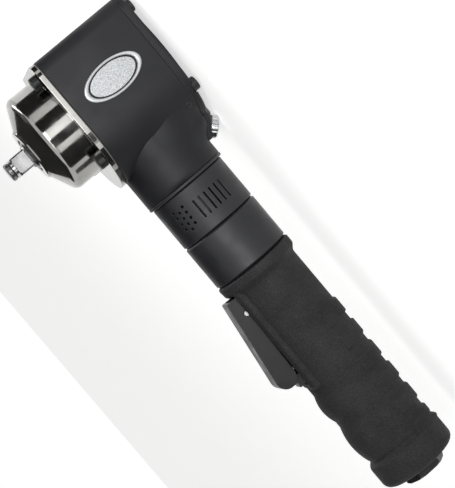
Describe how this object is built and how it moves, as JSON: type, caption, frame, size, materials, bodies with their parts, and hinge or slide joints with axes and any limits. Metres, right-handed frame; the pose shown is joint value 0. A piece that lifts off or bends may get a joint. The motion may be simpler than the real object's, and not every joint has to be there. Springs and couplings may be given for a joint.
{
  "type": "angle impact wrench",
  "caption": "Air-driven angle impact wrench: square drive anvil in a short head, turning exhaust collar, rubber grip and lever throttle.",
  "frame": {"origin": "centre of the square drive's shoulder, on the anvil axis", "axes": "+Z along the anvil and out of the drive, +X along the handle to the air inlet, +Y out of the side with the name plate"},
  "size_m": [0.2693, 0.0598, 0.0947],
  "materials": {
    "black_casting": "cast, satin black paint",
    "black_sleeve": "turned, satin black anodised",
    "grip_rubber": "pebbled moulded rubber",
    "dark_chrome": "polished",
    "drive_steel": "ground and oiled",
    "black_steel": "black oxide",
    "bright_steel": "bright turned",
    "aluminium": "machined",
    "bronze": "sintered bronze",
    "seal_rubber": "nitrile rubber",
    "gasket": "fibre gasket",
    "vane": "phenolic",
    "plate": "fine sparkle silver"
  },
  "bodies": {
    "housing": {"head_housing": "black_casting", "rear_cover": "black_casting", "rear_gasket": "gasket", "rear_cover_screws": "black_steel", "oil_plug": "black_steel", "name_plate": "plate", "front_gasket": "gasket", "hammer_case": "dark_chrome", "hammer_case_screws": "black_steel", "nose_bushing": "bronze", "nose_seal": "seal_rubber", "motor_cylinder": "bright_steel", "rear_end_plate": "aluminium", "front_end_plate": "aluminium", "bearing_outer_races": "bright_steel", "bearing_balls": "bright_steel", "selector_bushing": "bronze", "neck_lip_ring": "black_sleeve", "collar_o_rings": "seal_rubber", "coupling_sleeve": "black_sleeve", "handle_core": "black_sleeve", "air_tube": "bronze", "grip": "grip_rubber", "lever_pin": "bright_steel", "valve_bushing": "bronze", "valve_spring": "bright_steel", "inlet_bushing": "black_steel", "inlet_screen": "bright_steel"},
    "rotor": {"rotor": "drive_steel", "rotor_vanes": "vane", "bearing_inner_races": "bright_steel", "hammer_cage": "drive_steel", "hammer_pins": "bright_steel"},
    "hammer_a": {"hammer_a": "drive_steel"},
    "hammer_b": {"hammer_b": "drive_steel"},
    "anvil": {"anvil": "drive_steel", "friction_ring": "bright_steel", "retainer_o_ring": "seal_rubber"},
    "selector": {"selector_knob": "bright_steel", "selector_spool": "bright_steel"},
    "collar": {"exhaust_collar": "black_sleeve"},
    "lever": {"throttle_lever": "black_steel"},
    "plunger": {"throttle_plunger": "bright_steel"}
  },
  "joints": [
    {"name": "lever_squeeze", "type": "hinge", "parent": "housing", "child": "lever", "pos_m": [0.123, 0, -0.0312], "axis": [0, 1, 0], "range_deg": [0, 8], "stiffness_Nm_per_rad": 0.6, "springref_deg": -34.38},
    {"name": "plunger_slide", "type": "slide", "parent": "housing", "child": "plunger", "axis": [0, 0, 1], "range_m": [-0.00515, 0], "deforming": ["valve_spring"]},
    {"name": "selector_turn", "type": "hinge", "parent": "housing", "child": "selector", "pos_m": [0.0435, 0, -0.0762], "axis": [0.7071, 0, -0.7071], "range_deg": [-45, 45]},
    {"name": "collar_turn", "type": "hinge", "parent": "housing", "child": "collar", "pos_m": [0.0697, 0, -0.0499], "axis": [1, 0, 0], "continuous": true},
    {"name": "rotor_spin", "type": "hinge", "parent": "housing", "child": "rotor", "pos_m": [0, 0, 0], "axis": [0, 0, 1], "continuous": true},
    {"name": "hammer_a_swing", "type": "hinge", "parent": "rotor", "child": "hammer_a", "pos_m": [0, 0.0164, 0], "axis": [0, 0, 1], "range_deg": [-6, 6]},
    {"name": "hammer_b_swing", "type": "hinge", "parent": "rotor", "child": "hammer_b", "pos_m": [0, -0.0164, 0], "axis": [0, 0, 1], "range_deg": [-6, 6]},
    {"name": "anvil_spin", "type": "hinge", "parent": "housing", "child": "anvil", "pos_m": [0, 0, 0], "axis": [0, 0, 1], "continuous": true}
  ],
  "couplings": [
    {"joint": "plunger_slide", "follows": "lever_squeeze", "m_per_rad": -0.0362}
  ]
}
